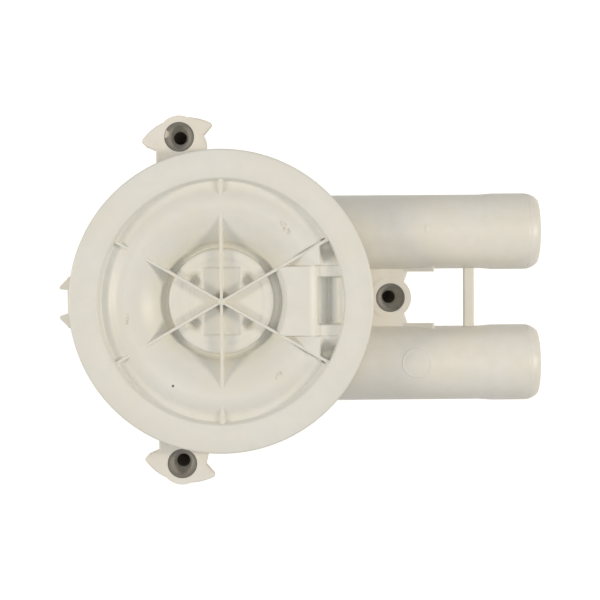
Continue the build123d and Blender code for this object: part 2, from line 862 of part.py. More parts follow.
pieces = {
    "volute_housing": volute_housing(),
    "front_cover": front_cover(),
    "impeller": impeller(),
    "drive_shaft": drive_shaft(),
    "drive_hub": drive_hub(),
    "drive_insert": drive_insert(),
    "seal_side_bearing": bearing_bush(seal_bush_low),
    "motor_side_bearing": bearing_bush(motor_bush_low),
    "oil_felt": oil_felt(),
    "bearing_retainer": bearing_retainer(),
    "seal_seat": seal_seat(),
    "seal_seat_cup": seal_seat_cup(),
    "seal_carbon_ring": seal_carbon_ring(),
    "seal_bellows": seal_bellows(),
    "seal_spring": seal_spring(),
    "seal_drive_cup": seal_drive_cup(),
    "thrust_washer": thrust_washer(),
    "retaining_ring": retaining_ring(),
    "water_slinger": water_slinger(),
}
for name in isolator_places:
    pieces[name] = isolator(name)

os.makedirs("parts", exist_ok=True)
for name, shape in pieces.items():
    export_step(shape, f"parts/{name}.step")
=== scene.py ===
import math

import bmesh
import bpy
import numpy as np
from mathutils import Matrix, Vector


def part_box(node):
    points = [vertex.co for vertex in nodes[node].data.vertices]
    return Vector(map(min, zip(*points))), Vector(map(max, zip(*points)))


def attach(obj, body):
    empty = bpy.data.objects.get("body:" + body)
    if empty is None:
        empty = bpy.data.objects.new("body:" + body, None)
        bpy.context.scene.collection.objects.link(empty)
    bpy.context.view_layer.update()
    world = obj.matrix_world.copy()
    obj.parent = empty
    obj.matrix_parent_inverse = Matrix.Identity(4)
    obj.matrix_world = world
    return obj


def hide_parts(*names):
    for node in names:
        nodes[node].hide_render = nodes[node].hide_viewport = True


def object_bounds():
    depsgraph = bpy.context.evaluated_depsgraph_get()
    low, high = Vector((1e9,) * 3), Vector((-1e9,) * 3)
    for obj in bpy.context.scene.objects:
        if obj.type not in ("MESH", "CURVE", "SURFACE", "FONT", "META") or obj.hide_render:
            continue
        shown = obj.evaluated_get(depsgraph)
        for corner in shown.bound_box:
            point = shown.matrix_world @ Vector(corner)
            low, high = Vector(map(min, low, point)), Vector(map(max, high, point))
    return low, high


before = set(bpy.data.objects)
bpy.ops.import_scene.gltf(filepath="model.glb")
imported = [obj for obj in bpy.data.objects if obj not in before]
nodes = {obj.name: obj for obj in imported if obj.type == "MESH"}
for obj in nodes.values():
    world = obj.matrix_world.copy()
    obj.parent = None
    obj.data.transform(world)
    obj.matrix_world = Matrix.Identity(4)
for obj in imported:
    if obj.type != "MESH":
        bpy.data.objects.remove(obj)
cad_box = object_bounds()
MM = 0.001  # the sizes below are in millimetres, the scene is in metres


# ---- Housing ----
# The pump's body: chamber, both hose nipples, isolator posts, ears and clip pad in one piece.
# Polypropylene, injection moulded in ivory. The steel of the mould was spark eroded and then
# brushed, which leaves a soft satin face; years of hot suds turned it slightly yellow in patches.
housing_ivory = ("#e6e3db", "#e5e0d2", "#dddace")
polypropylene_ior = 1.49
satin = (0.34, 0.46)  # lowest and highest roughness, in streaks
patch_size = 26.0
streak_size = 5.0
satin_grain = 0.9  # the real texture is about 0.05 mm; drawn coarser so that it shows
satin_relief = 0.012
# The mould's marks on the pipes. Their rise and fall are in times the satin's own relief.
date_ring = {"place": (82.4, -27.3), "radius": 6.0, "half_width": 0.55, "rise": 12.0}
knockout = {"place": (86.7, 29.9), "half": (1.0, 2.1), "edge": 0.4, "rise": 14.0}
marked_above = 73.6  # the pipes' upper sides are higher than this, and their bores aren't
end_groove = {"x": 130.8, "half_width": 0.35, "fall": 9.0}
any_height = 1000.0  # half height of a mark that only x and y place


def linear(text):
    """sRGB hex text as a linear colour: x/12.92 near black, else ((x + 0.055)/1.055)^2.4."""
    parts = [int(text[k : k + 2], 16) / 255 for k in (1, 3, 5)]
    return [c / 12.92 if c <= 0.04045 else ((c + 0.055) / 1.055) ** 2.4 for c in parts] + [1.0]


def add(tree, kind, settings=None, links=None):
    """Adds a shader node. Lower-case settings are its own, others go to inputs; links by input."""
    node = tree.nodes.new("ShaderNode" + kind)
    for name, value in (settings or {}).items():
        if isinstance(name, str) and name[0].islower():
            setattr(node, name, value)
        else:
            node.inputs[name].default_value = value
    for name, socket in (links or {}).items():
        tree.links.new(socket, node.inputs[name])
    return node.outputs


def new_material(name):
    """An empty material with its tree and its object coordinates."""
    made = bpy.data.materials.new(name)
    made.use_nodes = True
    made.node_tree.nodes.clear()
    return made, made.node_tree, add(made.node_tree, "TexCoord")["Object"]


def blended(tree, share, first, second):
    """One of two colours, or a blend of both, by a share from 0 to 1."""
    settings = {"data_type": "RGBA"}
    links = {0: share}
    for number, colour in ((6, first), (7, second)):
        if isinstance(colour, str):
            settings[number] = linear(colour)
        else:
            links[number] = colour
    return add(tree, "Mix", settings, links)[2]


def finished(tree, colour, bump_height, bump_mm, rough, settings):
    """The material's surface: colour, roughness from a low to a high value by a share, and bump."""
    roughness = add(tree, "MapRange", {"To Min": rough[1], "To Max": rough[2]}, {"Value": rough[0]})
    relief = add(tree, "Bump", {"Strength": 1.0, "Distance": bump_mm * MM}, {"Height": bump_height})
    links = {"Base Color": colour, "Roughness": roughness[0], "Normal": relief[0]}
    shader = add(tree, "BsdfPrincipled", settings, links)
    add(tree, "OutputMaterial", None, {"Surface": shader[0]})


def moulded_polypropylene(name, tones, marks=None, relief=None):
    """Satin ivory plastic: slow warm and grey patches, fine grain, and marks where they are given."""
    made, tree, where = new_material(name)
    patch = add(tree, "TexNoise", {"Scale": 1 / (patch_size * MM), "Detail": 2.0}, {"Vector": where})
    streak = add(tree, "TexNoise", {"Scale": 1 / (streak_size * MM), "Detail": 3.0}, {"Vector": where})
    grain = add(tree, "TexNoise", {"Scale": 1 / (satin_grain * MM), "Detail": 1.0}, {"Vector": where})
    cloud = add(tree, "MapRange", {"From Min": 0.35, "From Max": 0.65}, {"Value": patch[0]})
    faint = {"From Min": 0.4, "From Max": 0.75, "To Max": 0.45}
    thin = add(tree, "MapRange", faint, {"Value": streak[0]})
    colour = blended(tree, cloud[0], tones[0], tones[1])
    colour = blended(tree, thin[0], colour, tones[2])
    if marks:
        colour = marks(tree, where, colour)
    height = relief(tree, where, grain[0]) if relief else grain[0]
    finished(tree, colour, height, satin_relief, (streak[0], *satin), {"IOR": polypropylene_ior})
    return made


def mould_marks(tree, where, height):
    """What the mould leaves on the pipes: a low ring and an oval pin mark on their upper sides, and
    a fine groove near each end where its two halves meet."""
    flat = add(tree, "VectorMath", {"operation": "MULTIPLY", 1: (1, 1, 0)}, {0: where})
    centre = Vector((*date_ring["place"], 0)) * MM
    away = add(tree, "VectorMath", {"operation": "DISTANCE", 1: centre}, {0: flat[0]})
    off = add(tree, "Math", {"operation": "SUBTRACT", 1: date_ring["radius"] * MM}, {0: away["Value"]})
    off = add(tree, "Math", {"operation": "ABSOLUTE"}, {0: off[0]})
    low_ring = {"From Max": date_ring["half_width"] * MM, "To Min": date_ring["rise"], "To Max": 0.0}
    ring = add(tree, "MapRange", low_ring, {"Value": off[0]})
    half = Vector((*knockout["half"], any_height)) * MM
    place = Vector((*knockout["place"], 0)) * MM
    turned = {"vector_type": "TEXTURE", "Location": place, "Scale": half}
    oval = add(tree, "Mapping", turned, {"Vector": where})
    reach = add(tree, "VectorMath", {"operation": "LENGTH"}, {0: oval[0]})
    pin_top = {"From Min": 1 - knockout["edge"], "To Min": knockout["rise"], "To Max": 0.0}
    pin = add(tree, "MapRange", pin_top, {"Value": reach["Value"]})
    raised = add(tree, "Math", {"operation": "ADD"}, {0: ring[0], 1: pin[0]})
    axes = add(tree, "SeparateXYZ", None, {0: where})
    outside = add(tree, "Math", {"operation": "GREATER_THAN", 1: marked_above * MM}, {0: axes["Z"]})
    marked = add(tree, "Math", {"operation": "MULTIPLY_ADD"}, {0: raised[0], 1: outside[0], 2: height})
    off = add(tree, "Math", {"operation": "SUBTRACT", 1: end_groove["x"] * MM}, {0: axes["X"]})
    off = add(tree, "Math", {"operation": "ABSOLUTE"}, {0: off[0]})
    cut = {"From Max": end_groove["half_width"] * MM, "To Min": end_groove["fall"], "To Max": 0.0}
    groove = add(tree, "MapRange", cut, {"Value": off[0]})
    return add(tree, "Math", {"operation": "SUBTRACT"}, {0: marked[0], 1: groove[0]})[0]


def paint(names, material):
    """Gives CAD nodes their finish."""
    for name in names:
        nodes[name].data.materials.clear()
        nodes[name].data.materials.append(material)


housing_plastic = moulded_polypropylene("moulded_polypropylene", housing_ivory, relief=mould_marks)
paint(["volute_housing"], housing_plastic)


# ---- Front cover ----
# The round dished cover, spin welded to the housing's flange: a flat ring, a crown round a
# sunken hub, a sump towards the nipples and six ribs. Same ivory polypropylene as the housing,
# here with a black speck and three faint brown stains.
cover_ivory = ("#e3e2da", "#e2dfd3", "#dbdbd3")
face_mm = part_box("front_cover")[1].z / MM
rim_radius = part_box("front_cover")[1].x / MM
# The cover's turned section in four parts, as (radius, height from the ring face): the crown, the
# hub with the groove round it, the lip with the ring, and the underside.
crown_line = (
    (25.3, -8.3),
    (26.8, -6.9),
    (28.2, -5.7),
    (29.6, -4.7),
    (31.2, -3.75),
    (33.4, -2.6),
    (35.0, -1.95),
    (36.8, -1.5),
    (41.0, -1.0),
    (43.2, -1.35),
    (44.8, -2.0),
    (46.2, -2.75),
    (47.4, -3.15),
    (48.8, -3.25),
)
hub_line = (
    (0.0, -5.3),
    (17.0, -5.3),
    (18.4, -5.05),
    (20.6, -5.05),
    (21.2, -5.15),
    (21.6, -5.35),
    (21.85, -5.75),
    (21.95, -6.4),
    (22.05, -9.4),
    (22.25, -10.2),
    (22.7, -10.6),
    (23.3, -10.5),
    (24.0, -10.0),
    (24.7, -9.2),
    (25.3, -8.3),
)
lip_line = (
    (48.8, -3.25),
    (49.6, -3.3),
    (50.1, -3.0),
    (50.8, -1.0),
    (51.1, -0.45),
    (51.4, -0.12),
    (51.8, 0.0),
    (rim_radius - 0.9, 0.0),
    (rim_radius - 0.45, -0.12),
    (rim_radius - 0.12, -0.45),
    (rim_radius, -0.9),
)
under_line = (
    (rim_radius, -5.0),
    (53.0, -5.0),
    (53.0, -9.0),
    (50.9, -9.0),
    (50.9, -6.4),
    (48.6, -6.4),
    (43.5, -3.8),
    (40.5, -3.4),
    (36.5, -4.7),
    (33.0, -7.4),
    (28.4, -10.7),
    (26.0, -15.4),
    (24.2, -15.4),
)
joint_radius = 24.2  # inside the groove, where the hub's mesh meets the dish's
soft_edge = 0.3
# What is cut into the hub or stands on it. A pair is where a slope starts and where it ends.
recess = {"left": (-8.4, -6.8), "right": (8.4, 7.2), "half": (14.5, 13.5), "depth": 0.7}
witness = {"x": (-11.7, -13.3), "rise": 0.14, "width": (0.5, 0.1), "length": (6.2, 5.2), "within": 18}
pit = {"x": 12.4, "y": 8.2, "edge": 3.2, "floor": 0.2, "depth": 3.8, "stretch": 1.9}
pit_tail = (0.67, 0.74)  # which way the pits taper: towards the y axis and away from the x axis
centre_dip = {"edge": 4.4, "floor": 1.4, "depth": 1.6}
rib_angle = 30.0
# The sector between the two ribs on the nipples' side, and the sump that lies in it.
sector = {"edge": 0.4, "groove": (25.6, 25.3), "inner": (25.1, 25.6), "outer": (51.25, 50.85)}
sump = {
    "plate_z": -1.6,
    "plate_dip": 3.0,
    "plate_slope": (56.0, 42.0),
    "plate_end": (40.3, 42.2),
    "pit_z": -8.6,
    "pit_rise": 5.4,
    "pit_side": (22.0, 15.0),
    "groove_z": -8.7,
    "crown_z": -0.9,
    "crown_end": 40.2,
    "crown_edge": (39.8, 40.4),
    "crown_roll": 6.8,
    "crown_curve": 2.2,
    "crown_fall": 2.6,
    "crown_start": (27.8, 25.2),
    "start_fall": 2.6,
    "block_side": (14.95, 14.3),
    "trough_side": (9.4, 10.2),
    "block_z": -4.0,
}
# A narrow slot along the inner side of each of those two ribs, deepest at the lip.
slot = {
    "off": 0.9,
    "width": (0.42, 0.12),
    "start": (33.0, 36.0),
    "end": (50.4, 49.8),
    "z": -2.6,
    "fall": 4.0,
    "falls": (47.5, 50.0),
}
# The trough and its shelf, as (distance towards the nipples, height).
trough_line = (
    (40.2, -6.5),
    (42.0, -7.6),
    (43.6, -8.9),
    (44.5, -10.3),
    (45.0, -10.6),
    (45.5, -9.7),
    (46.0, -8.8),
    (46.8, -8.4),
    (47.8, -8.1),
    (49.2, -7.3),
    (50.6, -5.0),
)


def ramp(value, start, end):
    """0 at start and 1 at end, with a smooth S between: 3t^2 - 2t^3, t the share of the way."""
    t = np.clip((value - start) / (end - start), 0, 1)
    return t * t * (3 - 2 * t)


def mix(first, second, share):
    """The first where the share is 0, the second where it is 1, and a straight blend between."""
    return first + (second - first) * share


def smooth_line(points, at):
    """Height of a smooth line through (place, height) points: cubic Hermite spans whose slopes
    are the points' central differences."""
    place, height = np.array(points, float).T
    slope = np.gradient(height, place)
    at = np.clip(at, place[0], place[-1])
    k = np.clip(np.searchsorted(place, at) - 1, 0, len(place) - 2)
    span = place[k + 1] - place[k]
    t = (at - place[k]) / span
    start = (1 + 2 * t) * (1 - t) ** 2 * height[k] + t * (1 - t) ** 2 * span * slope[k]
    return start + t * t * (3 - 2 * t) * height[k + 1] + t * t * (t - 1) * span * slope[k + 1]


def sump_height(x, y):
    """Height in the sector towards the nipples: two flat plates beside the ribs, deep pits past
    them, and between them a crown block that rolls over into a trough with a shelf."""
    side = np.abs(y)
    pit_floor = sump["pit_z"] + sump["pit_rise"] * ramp(side, *sump["pit_side"])
    plates = sump["plate_z"] - sump["plate_dip"] * ramp(x + side, *sump["plate_slope"])
    plates = mix(plates, pit_floor, ramp(x, *sump["plate_end"]))
    reach = np.clip((x - sump["crown_end"] + sump["crown_roll"]) / sump["crown_roll"], 0, 1)
    crown = sump["crown_z"] - sump["crown_fall"] * reach ** sump["crown_curve"]
    crown -= sump["start_fall"] * ramp(np.hypot(x, y), *sump["crown_start"])
    trough = smooth_line(trough_line, x)
    trough = mix(trough, sump["block_z"], ramp(side, *sump["trough_side"]))
    middle = mix(crown, trough, ramp(x, *sump["crown_edge"]))
    return mix(plates, middle, ramp(side, *sump["block_side"]))


def cover_height(x, y):
    """Height of the cover below its ring face, in millimetres, without the ribs: a turned section
    of hub, groove, crown and lip, less the hub's recess and pits, with the sump in its sector."""
    r = np.hypot(x, y)
    crown_and_lip = np.where(
        r < crown_line[-1][0], smooth_line(crown_line, r), np.interp(r, *np.array(lip_line).T)
    )
    z = np.where(r < hub_line[-1][0], np.interp(r, *np.array(hub_line).T), crown_and_lip)
    turn = math.radians(rib_angle)
    far = 50.0  # the left half has no sump, so it counts as far from the sector's two ribs
    from_rib = np.where(x > 0, np.abs(y) * math.cos(turn) - x * math.sin(turn), far)
    from_diagonal = np.abs(y) * math.cos(turn) - np.abs(x) * math.sin(turn)
    above_diagonal = ramp(from_diagonal, -soft_edge, soft_edge)
    dug = ramp(x, *recess["left"]) * ramp(x, *recess["right"]) * ramp(np.abs(y), *recess["half"])
    z = z - recess["depth"] * dug * above_diagonal
    for place in witness["x"]:
        line = ramp(np.abs(x - place), *witness["width"]) * ramp(np.abs(y), *witness["length"])
        z = z + witness["rise"] * line * (r < witness["within"])
    past_x, past_y = np.abs(x) - pit["x"], np.abs(y) - pit["y"]
    along = past_y * pit_tail[1] - past_x * pit_tail[0]
    beside = past_y * pit_tail[0] + past_x * pit_tail[1]
    from_pit = np.hypot(beside, np.where(along > 0, along / pit["stretch"], along))
    fall = pit["depth"] * ramp(from_pit, pit["edge"], pit["floor"])
    fall = fall + centre_dip["depth"] * ramp(r, centre_dip["edge"], centre_dip["floor"])
    z -= fall * above_diagonal
    in_sector = ramp(from_rib, sector["edge"], -sector["edge"])
    z = mix(z, np.maximum(z, sump["groove_z"]), in_sector * ramp(r, *sector["groove"]))
    z = mix(z, sump_height(x, y), in_sector * ramp(r, *sector["inner"]) * ramp(r, *sector["outer"]))
    in_slot = ramp(np.abs(from_rib - slot["off"]), *slot["width"])
    in_slot = in_slot * ramp(r, *slot["start"]) * ramp(r, *slot["end"])
    return mix(z, np.minimum(z, slot["z"] - slot["fall"] * ramp(r, *slot["falls"])), in_slot)


def shell(name, points, material, closed=True):
    """A mesh from a grid of points in millimetres, smooth shaded. Rows run along the profile and
    columns round it; points that meet, as at a pole, are merged."""
    rows, columns = points.shape[:2]
    index = np.arange(rows * columns).reshape(rows, columns)
    if closed:
        index = np.hstack([index, index[:, :1]])
    faces = np.stack([index[:-1, :-1], index[1:, :-1], index[1:, 1:], index[:-1, 1:]], axis=-1)
    data = bpy.data.meshes.new(name)
    data.from_pydata((points.reshape(-1, 3) * MM).tolist(), [], faces.reshape(-1, 4).tolist())
    work = bmesh.new()
    work.from_mesh(data)
    bmesh.ops.remove_doubles(work, verts=work.verts, dist=1e-7)
    work.to_mesh(data)
    work.free()
    data.polygons.foreach_set("use_smooth", np.ones(len(data.polygons), bool))
    data.materials.append(material)
    piece = bpy.data.objects.new(name, data)
    bpy.context.scene.collection.objects.link(piece)
    return piece


def turned_about(x, y, section, columns):
    """Points of a section of (radius, height) pairs, turned about a vertical axis at x, y."""
    angle = np.linspace(0, 2 * np.pi, columns, endpoint=False)
    r, z = np.array(section, float).T
    right, up = x + np.outer(r, np.cos(angle)), y + np.outer(r, np.sin(angle))
    return np.stack([right, up, np.outer(z, np.ones(columns))], axis=-1)


# Each mark's place, half lengths along and across, turn of its long side in degrees, tone,
# strength, and whether it is whole or broken up.
marks_on_cover = (
    ((26.8, 30.3), (4.6, 1.7), -57, "#a08a62", 0.5, False),
    ((24.0, -30.3), (3.4, 1.6), 50, "#94815c", 0.5, False),
    ((-38.9, -7.2), (3.4, 0.9), 86, "#a58a66", 0.5, False),
    ((-20.3, -34.7), (1.5, 1.5), 0, "#f0ebe0", 0.6, True),
    ((-20.3, -34.7), (0.8, 0.8), 0, "#4c4638", 0.95, True),
)


def stains(tree, where, colour):
    """Three faint brown smears broken up by noise, and a black speck in a pale halo."""
    flecks = add(tree, "TexNoise", {"Scale": 1 / (1.1 * MM), "Detail": 4.0}, {"Vector": where})
    broken = add(tree, "MapRange", {"From Min": 0.42, "From Max": 0.62}, {"Value": flecks[0]})
    for place, half, turn, tone, strength, whole in marks_on_cover:
        spot = {
            "vector_type": "TEXTURE",
            "Location": Vector((*place, 0)) * MM,
            "Rotation": (0, 0, math.radians(turn)),
            "Scale": Vector((*half, any_height)) * MM,
        }
        across = add(tree, "Mapping", spot, {"Vector": where})
        away = add(tree, "VectorMath", {"operation": "LENGTH"}, {0: across[0]})
        fade = {"interpolation_type": "SMOOTHSTEP", "From Min": 1.0, "From Max": 0.4, "To Max": strength}
        near = add(tree, "MapRange", fade, {"Value": away["Value"]})[0]
        if not whole:
            near = add(tree, "Math", {"operation": "MULTIPLY"}, {0: near, 1: broken[0]})[0]
        colour = blended(tree, near, colour, tone)
    return colour


cover_plastic = moulded_polypropylene("moulded_polypropylene_stained", cover_ivory, stains)

# The dish: its upper face from inside the groove to the rim, closed by its underside. Columns are
# finer in the sump's sector, whose edges are sharper.
half_sector = math.radians(31.5)  # a little more than rib_angle
fine = np.linspace(-half_sector, half_sector, 250, endpoint=False)
coarse = np.linspace(half_sector, 2 * np.pi - half_sector, 640, endpoint=False)
angles = np.concatenate([fine, coarse])
turning_points = [p[0] for p in hub_line + lip_line if p[0] > joint_radius]
rings = np.unique(np.concatenate([np.linspace(joint_radius, 51.8, 84), turning_points]))
x, y = np.outer(rings, np.cos(angles)), np.outer(rings, np.sin(angles))
top = np.stack([x, y, face_mm + cover_height(x, y)], axis=-1)
under = np.array(under_line)
x, y = np.outer(under[:, 0], np.cos(angles)), np.outer(under[:, 0], np.sin(angles))
r = np.hypot(x, y)
turn = math.radians(rib_angle)
backing = ramp(np.abs(y) * math.cos(turn) - x * math.sin(turn), 4.4, 3.9) * (x > 0)
under_z = np.broadcast_to(under[:, 1:], x.shape)
backing_z = -12.6  # the sump's sector is thicker, so that the pits and the trough don't cut through
deeper = mix(under_z, np.minimum(under_z, backing_z), backing)
under_z = np.where((r > 26.5) & (r < 50.95), deeper, under_z)
bottom = np.stack([x, y, face_mm + under_z], axis=-1)
dish = shell("cover_dish", np.concatenate([top, bottom, top[:1]]), cover_plastic)

# The hub: its upper face from the centre to the groove's floor, and a stepped underside.
turning_points = [p[0] for p in hub_line if p[0] < joint_radius]
rings = np.unique(np.concatenate([np.linspace(0, joint_radius, 84), turning_points]))
columns = 520
angles = np.linspace(0, 2 * np.pi, columns, endpoint=False)
x, y = np.outer(rings, np.cos(angles)), np.outer(rings, np.sin(angles))
top = np.stack([x, y, face_mm + cover_height(x, y)], axis=-1)
hub_under = [(joint_radius, -15.4), (20.5, -15.4), (20.5, -12.0), (0, -12.0)]
bottom = turned_about(0, 0, [(r, face_mm + z) for r, z in hub_under], columns)
hub = shell("cover_hub", np.concatenate([top, bottom]), cover_plastic)

# Half of a rib's outline: distance from its middle, height, and 1 where that height is taken
# from the cover's surface or 0 where it is taken from the rib's level top.
rib_top = -1.5
rib_half = (
    (1.0, -0.9, 1),
    (1.0, -0.03, 1),
    (0.85, 0.03, 1),
    (0.7, 0.14, 1),
    (0.62, 0.4, 1),
    (0.6, -0.35, 0),
    (0.55, -0.14, 0),
    (0.42, -0.03, 0),
    (0.2, 0.0, 0),
)
rib_outline = np.array([(-a, b, c) for a, b, c in rib_half] + list(rib_half[::-1]))
rib_end = 51.5
rib_flare = {"share": 0.55, "from": (48.6, 51.3)}
below_top = 0.45  # the flanks reach at least this far below the rib's top


def rib(name, angle):
    """A straight rib through the centre. Across it, a rounded top at one height and two flanks;
    each foot follows the cover's own height with a small fillet, and the ends widen to the lip."""
    along = np.linspace(-rib_end, rib_end, 300)[:, None]
    out, rise, on_cover = rib_outline.T[:, None, :]
    across = out * (1 + rib_flare["share"] * ramp(np.abs(along), *rib_flare["from"]))
    c, s = math.cos(math.radians(angle)), math.sin(math.radians(angle))
    x, y = along * c - across * s, along * s + across * c
    foot = np.minimum(cover_height(x, y) + rise, rib_top - below_top)
    points = np.stack([x, y, face_mm + np.where(on_cover > 0, foot, rib_top + rise)], axis=-1)
    ends = [np.broadcast_to(points[k].mean(axis=0), points[:1].shape) for k in (0, -1)]
    return shell(name, np.concatenate([ends[0], points, ends[1]]), cover_plastic)


cover_pieces = [dish, hub]
for number in range(3):
    cover_pieces.append(rib(f"cover_rib_{number + 1}", rib_angle + 60 * number))

# The moulding gate's cut stub, where the three ribs cross.
gate_line = (
    (0.0, -1.4),
    (0.6, -1.4),
    (0.85, -1.25),
    (1.1, -1.15),
    (1.4, -1.22),
    (1.6, -1.6),
    (1.6, -7.0),
    (0.0, -7.0),
)
gate = turned_about(0, 0, [(r, face_mm + z) for r, z in gate_line], 32)
cover_pieces.append(shell("cover_gate", gate, cover_plastic))
for piece in cover_pieces:
    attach(piece, "pump_casing")
    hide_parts("front_cover")


# ---- Isolators ----
# Three rubber plugs that carry the pump in its motor's bracket: a stepped mouth and a blind core
# in front, a collar and a nose behind. Grey natural rubber, compression moulded: matt, with a torn
# white flash at the mouth's edge. Down the mouth the grey is painted paler, as painted light against
# the mouth's own shade, and the blind core is painted darker, as painted shade.
rubber_rim = "#807e77"
rubber_grey = "#9b9891"
# Painted light: the grey turns to this paler tone towards the mouth's depth, against the mouth's own
# shade.
rubber_painted_light = "#d3cfc4"
# Painted shade: the blind core is painted this darker tone, as if in the hole's own shade.
core_painted_shade = "#6e6b65"
flash_white = "#d9d3ca"
rubber_ior = 1.52
rubber_grain = 0.7  # the real grain is under 0.1 mm; drawn coarser so that it shows
rubber_relief = 0.02
rubber_rough = (0.7, 0.85)
bloom_size = 1.5
core_radius = 2.7
core_depth = 43.0
edge_radius = 5.0  # the mouth's first step down from its rim
nose_end = 8.0  # height where the collar ends and the sleeve starts
steps = {"count": 7, "radius": 5.11, "depth": 0.76, "narrower": 0.35, "deeper": 1.425}
torn_flash = {"isolator_top": 166}  # degrees round the mouth where a flash was torn off
flash = {"radius": 6.0, "ragged": 2.4, "reach": 2.9, "fade": 0.3}


def isolator_outline(foot, mouth):
    """Half outline from the nose's middle to the core's bottom: nose, collar, sleeve and rim, then
    the mouth's steps, each narrower and deeper than the last by the same amount, then the core."""
    outside = [
        (0, foot),
        (4.6, foot),
        (5.2, foot + 0.1),
        (5.8, foot + 0.5),
        (6.0, foot + 1.0),
        (6.0, foot + 8.0),
        (8.8, foot + 8.0),
        (9.0, foot + 8.2),
        (9.0, foot + 9.75),
        (8.8, foot + 9.95),
        (6.2, foot + 9.95),
        (6.2, mouth - 0.3),
        (6.05, mouth - 0.05),
        (5.7, mouth),
        (5.55, mouth - 0.15),
        (5.5, mouth - 0.5),
        (5.4, mouth - 0.62),
    ]
    inside = []  # each step's edge, its small chamfer and the foot of its slightly tapered wall
    for k in range(steps["count"]):
        radius = steps["radius"] - steps["narrower"] * k
        height = mouth - steps["depth"] - steps["deeper"] * k
        inside += [(radius, height), (radius - 0.06, height - 0.16), (radius - 0.09, height - 1.23)]
    inside[-1] = (2.8, mouth - 10.7)
    core = [(core_radius, mouth - 10.95), (core_radius, mouth - core_depth), (0, mouth - core_depth)]
    return outside + inside + core


def rubber_with_painted_light_and_shade(name, x, y, torn):
    """Matt grey rubber, painted paler down the mouth as painted light against its shade, and
    painted darker in the blind core as painted shade; where the flash was torn off, a ragged pale
    patch stays on the mouth's edge. The nose is plain."""
    made, tree, where = new_material(name)
    flat = add(tree, "VectorMath", {"operation": "MULTIPLY", 1: (1, 1, 0)}, {0: where})
    away = add(tree, "VectorMath", {"operation": "DISTANCE", 1: Vector((x, y, 0)) * MM}, {0: flat[0]})
    bloom = add(tree, "TexNoise", {"Scale": 1 / (bloom_size * MM), "Detail": 3.0}, {"Vector": where})
    grain = add(tree, "TexNoise", {"Scale": 1 / (rubber_grain * MM), "Detail": 1.0}, {"Vector": where})
    down_mouth = {"From Min": edge_radius * MM, "From Max": (core_radius + 0.2) * MM}
    share = add(tree, "MapRange", down_mouth, {"Value": away["Value"]})
    on_rim = {"From Min": edge_radius * MM, "From Max": (edge_radius + 0.5) * MM}
    rim = add(tree, "MapRange", on_rim, {"Value": away["Value"]})
    in_core = {"From Min": (core_radius + 0.08) * MM, "From Max": core_radius * MM}
    core = add(tree, "MapRange", in_core, {"Value": away["Value"]})
    thin = {"From Min": 0.35, "From Max": 0.7, "To Max": 0.2}
    patch = add(tree, "MapRange", thin, {"Value": bloom[0]})
    # Painted light: paler towards the depth of the mouth, standing in for light in its shade.
    colour = blended(tree, share[0], rubber_grey, rubber_painted_light)
    colour = blended(tree, rim[0], colour, rubber_rim)
    colour = blended(tree, patch[0], colour, rubber_rim)
    # Painted shade: darker inside the blind core.
    colour = blended(tree, core[0], colour, core_painted_shade)
    if torn:
        turn = math.radians(torn)
        place = Vector((x + flash["radius"] * math.cos(turn), y + flash["radius"] * math.sin(turn), 0))
        near = add(tree, "VectorMath", {"operation": "DISTANCE", 1: place * MM}, {0: flat[0]})
        torn_edge = {"operation": "MULTIPLY_ADD", 1: flash["ragged"] * MM}
        ragged = add(tree, "Math", torn_edge, {0: bloom[0], 2: near["Value"]})
        left_over = {"From Min": flash["reach"] * MM, "From Max": (flash["reach"] - flash["fade"]) * MM}
        white = add(tree, "MapRange", left_over, {"Value": ragged[0]})
        colour = blended(tree, white[0], colour, flash_white)
    height = add(tree, "SeparateXYZ", None, {0: where})["Z"]
    nose = add(tree, "Math", {"operation": "LESS_THAN", 1: nose_end * MM}, {0: height})
    colour = blended(tree, nose[0], colour, rubber_rim)
    finished(tree, colour, grain[0], rubber_relief, (bloom[0], *rubber_rough), {"IOR": rubber_ior})
    return made


for name in ("isolator_port_side", "isolator_top", "isolator_bottom"):
    low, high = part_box(name)
    x, y = (low.x + high.x) / 2 / MM, (low.y + high.y) / 2 / MM
    rubber = rubber_with_painted_light_and_shade("moulded_natural_rubber_" + name, x, y, torn_flash.get(name))
    points = turned_about(x, y, isolator_outline(low.z / MM, high.z / MM), 96)
    plug = shell(name + "_rubber", points[:, ::-1], rubber)
    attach(plug, "pump_casing")
    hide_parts(name)


# ---- Impeller and drive hub ----
# Straight-vaned impeller in the chamber, and the hub that takes the motor's shaft. Nylon with
# glass fibre, injection moulded: near black, matt, with fibre ends that dull the gloss.
nylon = {
    "tones": ("#26272a", "#34353a"),
    "patch": 6.0,
    "grain": 0.5,  # fibre ends are about 0.01 mm across; drawn coarser so that they show
    "relief": 0.02,
    "rough": (0.42, 0.62),
    "settings": {"IOR": 1.53},
}


def two_tone_finish(name, tones, patch, grain, relief, rough, settings):
    """Two near colours in slow patches, under a fine grain that also breaks up the gloss. Sizes of
    patch and grain and the depth of its relief are in millimetres."""
    made, tree, where = new_material(name)
    slow = add(tree, "TexNoise", {"Scale": 1 / (patch * MM), "Detail": 3.0}, {"Vector": where})
    fine = add(tree, "TexNoise", {"Scale": 1 / (grain * MM), "Detail": 2.0}, {"Vector": where})
    share = add(tree, "MapRange", {"From Min": 0.35, "From Max": 0.65}, {"Value": slow[0]})
    colour = blended(tree, share[0], *tones)
    finished(tree, colour, fine[0], relief, (fine[0], *rough), settings)
    return made


paint(["impeller", "drive_hub"], two_tone_finish("glass_filled_nylon", **nylon))


